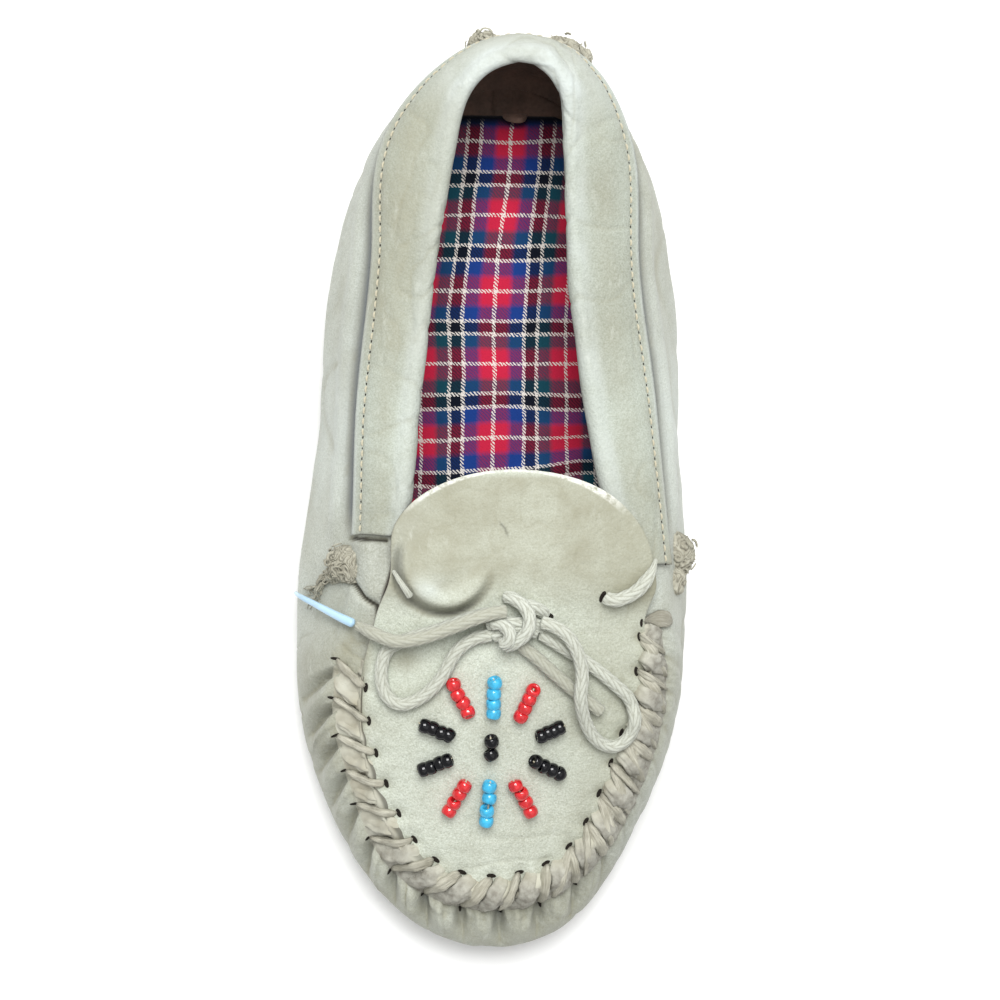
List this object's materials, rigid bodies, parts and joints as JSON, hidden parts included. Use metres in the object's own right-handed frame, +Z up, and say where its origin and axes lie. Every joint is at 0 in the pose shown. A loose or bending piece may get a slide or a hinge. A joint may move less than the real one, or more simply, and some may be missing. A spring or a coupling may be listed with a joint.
{
  "type": "beaded moccasin",
  "caption": "Soft leather moccasin for the left foot with a laced toe seam, folded collar, beaded plug, tartan insole and a tied lace bow.",
  "frame": {"origin": "on the flat underside of the outsole, at the middle of the shoe's length", "axes": "+Z up, -Y to the toe, +Y to the heel, +X to the inner (big toe) side"},
  "size_m": [0.1093, 0.2496, 0.0602],
  "materials": {
    "leather": "soft worn smooth leather, cream grey",
    "sole_leather": "plain sole leather",
    "thong": "raw leather thong",
    "tartan": "woven tartan cloth",
    "lace": "braided cotton",
    "aglet": "pale blue dipped tip",
    "bead_red": "opaque glass bead",
    "bead_blue": "opaque glass bead",
    "bead_black": "opaque glass bead"
  },
  "bodies": {
    "root": {"outsole": "sole_leather", "upper": "leather", "plug_tongue": "leather", "collar": "leather", "insole": "tartan", "toe_lacing": "thong", "heel_lacing": "thong", "side_knot_outer": "thong", "side_knot_inner": "thong", "heel_knot_outer": "thong", "heel_knot_inner": "thong", "bead_row_black_centre": "bead_black", "bead_row_blue_top": "bead_blue", "bead_row_red_top_outer": "bead_red", "bead_row_red_top_inner": "bead_red", "bead_row_black_top_outer": "bead_black", "bead_row_black_top_inner": "bead_black", "bead_row_black_toe_outer": "bead_black", "bead_row_black_toe_inner": "bead_black", "bead_row_red_toe_outer": "bead_red", "bead_row_blue_toe": "bead_blue", "bead_row_red_toe_inner": "bead_red", "lace_bar_inner": "lace", "lace_bar_outer": "lace", "lace_knot": "lace", "lace_loop_outer": "lace", "lace_loop_inner": "lace", "lace_end_outer": "lace", "lace_end_inner": "lace", "lace_aglet": "aglet"}
  },
  "joints": []
}
